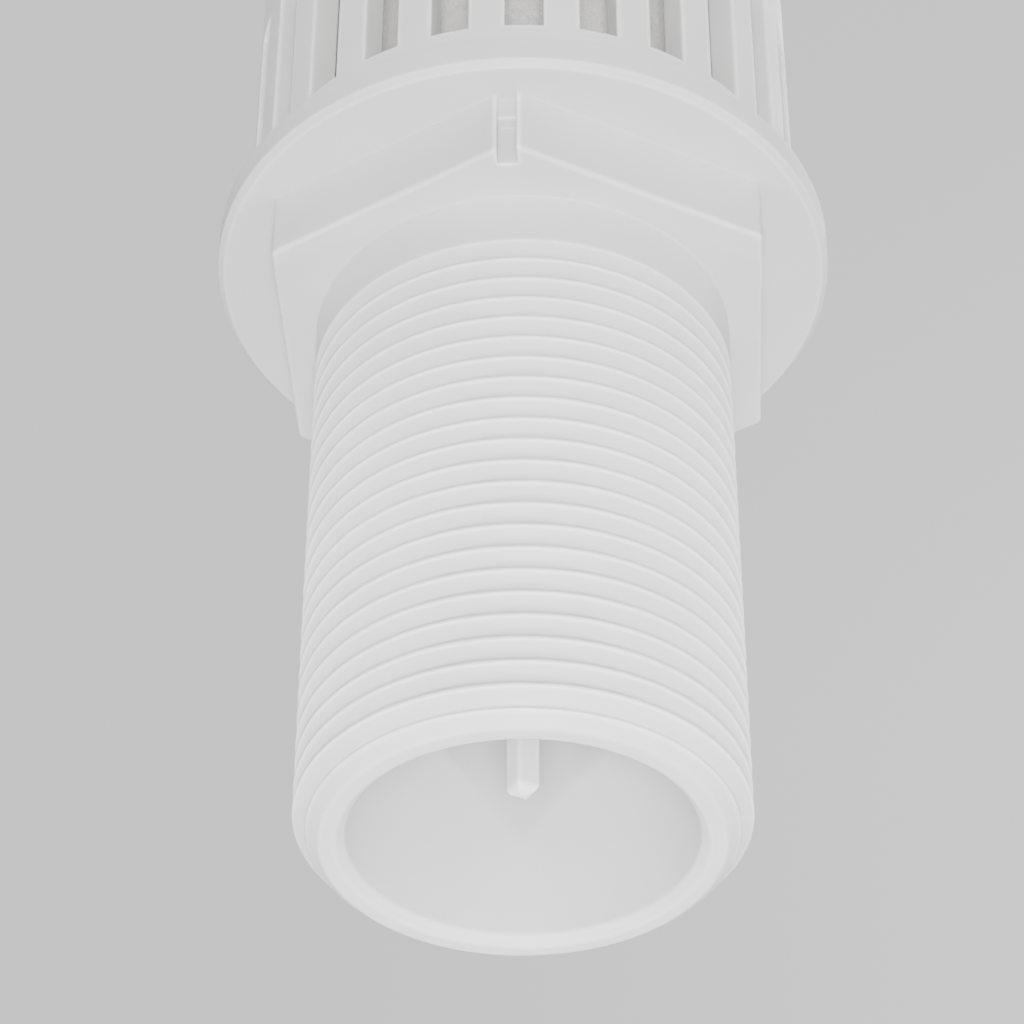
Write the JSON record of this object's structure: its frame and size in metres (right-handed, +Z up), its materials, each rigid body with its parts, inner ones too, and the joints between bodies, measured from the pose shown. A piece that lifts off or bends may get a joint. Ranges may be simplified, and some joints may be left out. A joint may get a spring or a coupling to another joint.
{
  "type": "pneumatic muffler",
  "caption": "Adjustable pneumatic exhaust muffler: long threaded inlet tube, hexagon and round flange in one white moulding, slotted silencing head and throttle knob behind the flange.",
  "frame": {"origin": "centre of the end face at the tube's open mouth", "axes": "+Z up the tube's axis, from the open mouth through the hexagon and flange to the knob; -Y is the side of the notched hexagon corner"},
  "size_m": [0.0375, 0.0374, 0.0762],
  "materials": {
    "moulded_white": "fine satin moulded finish",
    "guard_white": "fine satin moulded finish",
    "spindle_white": "smooth moulded finish",
    "brass_turned": "turned",
    "steel_plated": "zinc plated",
    "steel_perforated": "perforated, satin",
    "bronze_sintered": "sintered, granular",
    "felt_fibre": "pressed fibre felt",
    "seal_rubber": "matte black",
    "gasket_fibre": "matte grey sheet"
  },
  "bodies": {
    "housing": {"connector_body": "moulded_white", "threaded_inserts": "brass_turned", "seat_ring": "brass_turned", "seat_seal": "seal_rubber", "guide_spider": "moulded_white", "spider_retaining_ring": "steel_plated", "base_gasket": "gasket_fibre", "support_tube": "steel_perforated", "sintered_sleeve": "bronze_sintered", "felt_wrap": "felt_fibre", "cap_gasket": "gasket_fibre", "outer_guard": "guard_white", "head_cap": "guard_white", "tie_screws": "steel_plated", "thrust_washer": "steel_plated"},
    "knob": {"adjusting_knob": "guard_white", "knob_bush": "brass_turned", "knob_seal": "seal_rubber", "knob_cover": "guard_white", "knob_clip": "steel_plated"},
    "spindle": {"throttle_spindle": "spindle_white", "throttle_plug": "spindle_white", "plug_nut": "brass_turned"}
  },
  "joints": [
    {"name": "knob_turn", "type": "hinge", "parent": "housing", "child": "knob", "pos_m": [0, 0, 0.06], "axis": [0, 0, 1], "range_deg": [-1800, 0]},
    {"name": "spindle_slide", "type": "slide", "parent": "housing", "child": "spindle", "axis": [0, 0, 1], "range_m": [0, 0.0035]}
  ],
  "couplings": [
    {"joint": "knob_turn", "follows": "spindle_slide", "rad_per_m": -8976}
  ]
}
